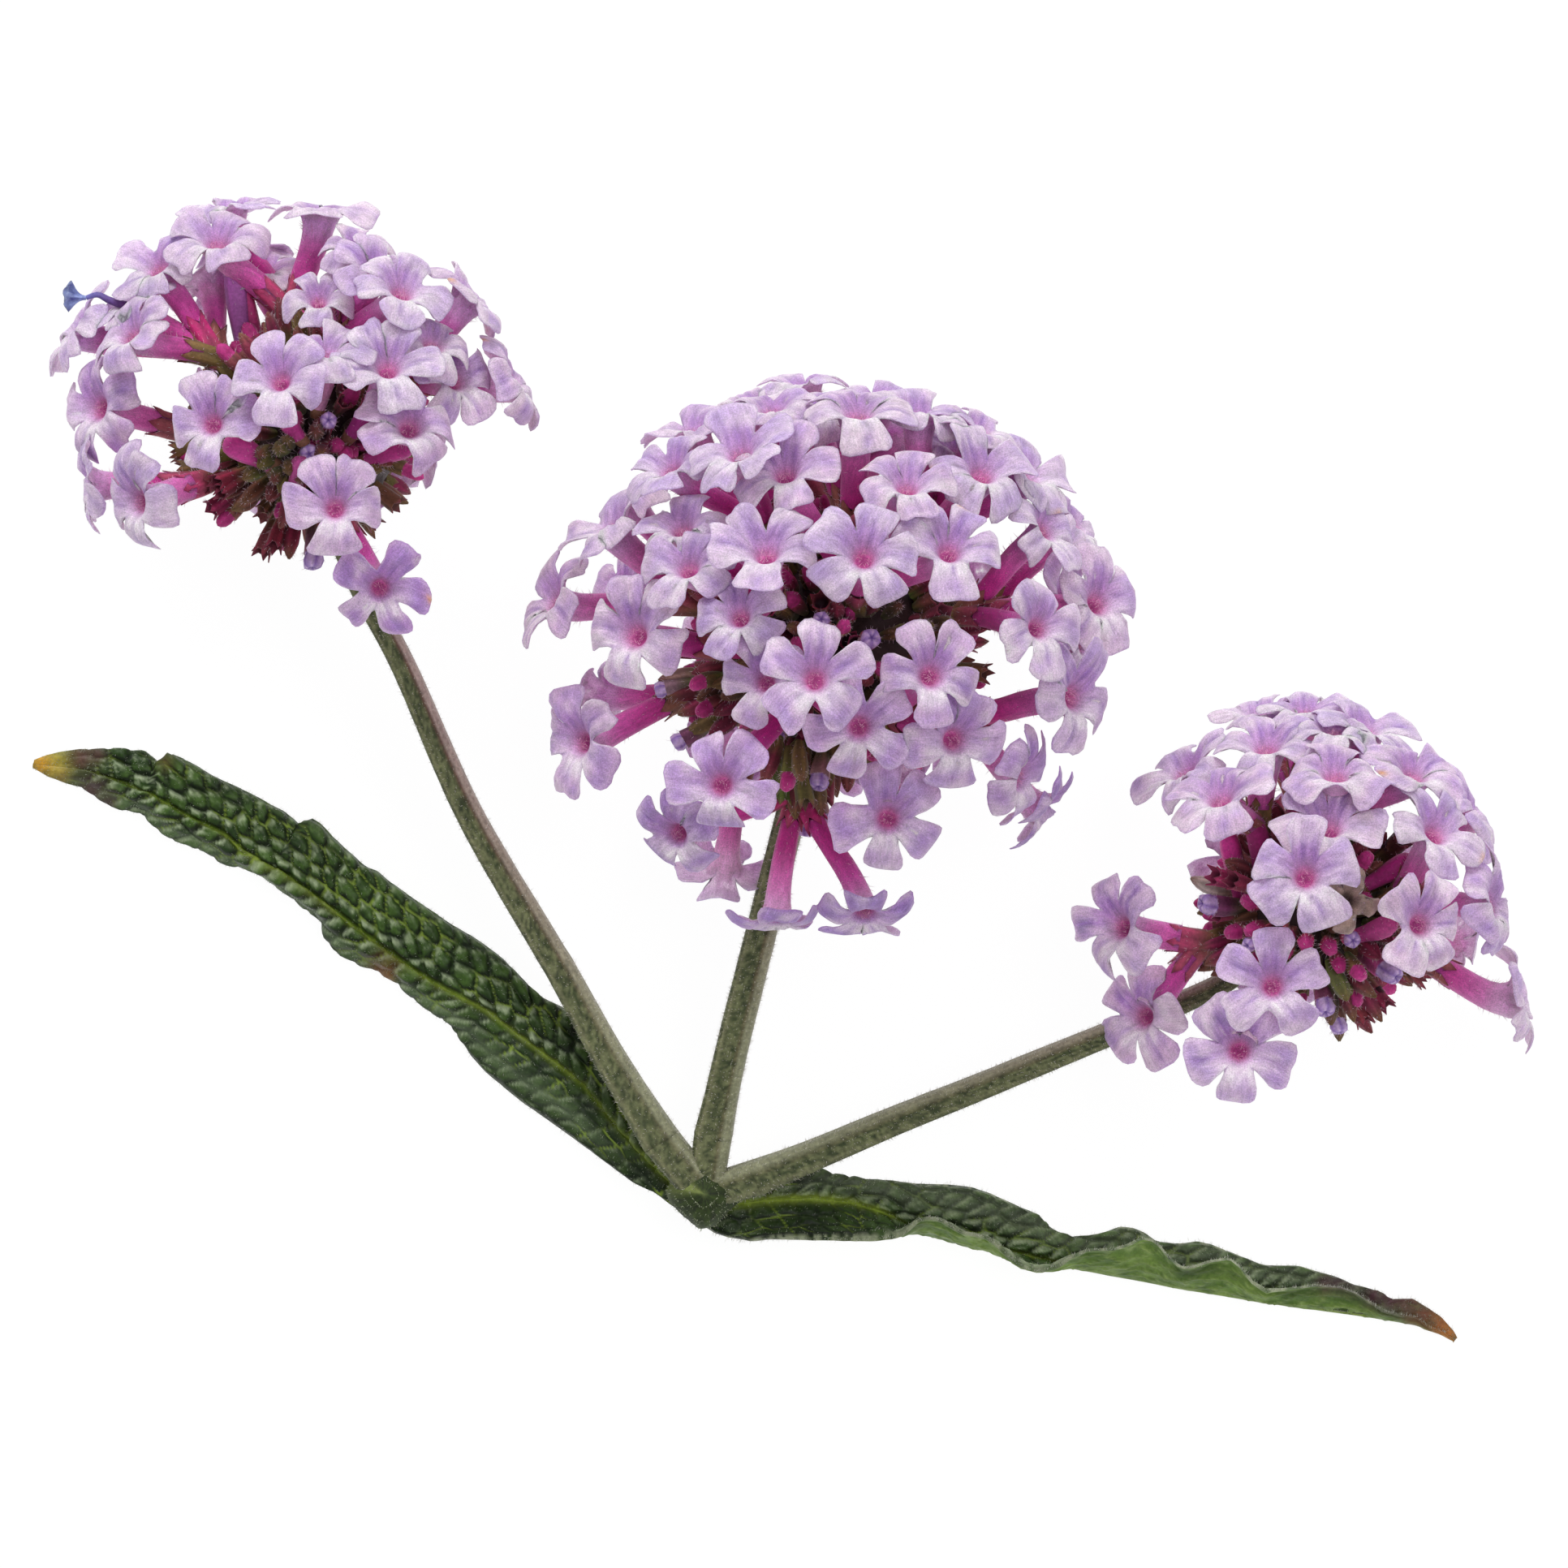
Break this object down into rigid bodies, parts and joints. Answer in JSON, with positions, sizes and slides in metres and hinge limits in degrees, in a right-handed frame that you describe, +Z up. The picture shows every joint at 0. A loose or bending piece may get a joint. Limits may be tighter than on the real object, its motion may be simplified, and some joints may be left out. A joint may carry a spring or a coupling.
{
  "type": "verbena sprig",
  "caption": "Cut sprig of tall verbena lying flat: globular heads of small lavender florets on slender stems that meet at a leaf node with toothed lance-shaped leaves.",
  "frame": {"origin": "on the table under the middle of the sprig's bounding box", "axes": "+X across the sprig from the left flower head to the right one, +Y from the leaf node towards the flower heads, +Z up from the table the sprig lies on"},
  "size_m": [0.0854, 0.0654, 0.0307],
  "materials": {
    "petal_centre": "matte",
    "petal_left": "matte",
    "petal_right": "matte",
    "calyx_mass": "matte",
    "stem": "matte",
    "leaf": "matte"
  },
  "bodies": {
    "root": {"bract_right": "leaf", "florets_centre_01": "petal_centre", "florets_centre_02": "petal_centre", "florets_centre_03": "petal_centre", "florets_centre_04": "petal_centre", "florets_centre_05": "petal_centre", "florets_centre_06": "petal_centre", "florets_centre_07": "petal_centre", "florets_centre_08": "petal_centre", "florets_centre_09": "petal_centre", "florets_centre_10": "petal_centre", "florets_centre_11": "petal_centre", "florets_centre_12": "petal_centre", "florets_centre_13": "petal_centre", "florets_centre_14": "petal_centre", "florets_centre_15": "petal_centre", "florets_centre_16": "petal_centre", "florets_centre_17": "petal_centre", "florets_centre_18": "petal_centre", "florets_centre_19": "petal_centre", "florets_centre_20": "petal_centre", "florets_centre_21": "petal_centre", "florets_left_01": "petal_left", "florets_left_02": "petal_left", "florets_left_03": "petal_left", "florets_left_04": "petal_left", "florets_left_05": "petal_left", "florets_left_06": "petal_left", "florets_left_07": "petal_left", "florets_left_08": "petal_left", "florets_left_09": "petal_left", "florets_left_10": "petal_left", "florets_left_11": "petal_left", "florets_left_12": "petal_left", "florets_left_13": "petal_left", "florets_right_01": "petal_right", "florets_right_02": "petal_right", "florets_right_03": "petal_right", "florets_right_04": "petal_right", "florets_right_05": "petal_right", "florets_right_06": "petal_right", "florets_right_07": "petal_right", "florets_right_08": "petal_right", "florets_right_09": "petal_right", "florets_right_10": "petal_right", "florets_right_11": "petal_right", "leaf_left": "leaf", "leaf_right": "leaf", "receptacle_centre": "calyx_mass", "receptacle_left": "calyx_mass", "receptacle_right": "calyx_mass", "stem_centre": "stem", "stem_left": "stem", "stem_node": "stem", "stem_right": "stem"}
  },
  "joints": []
}
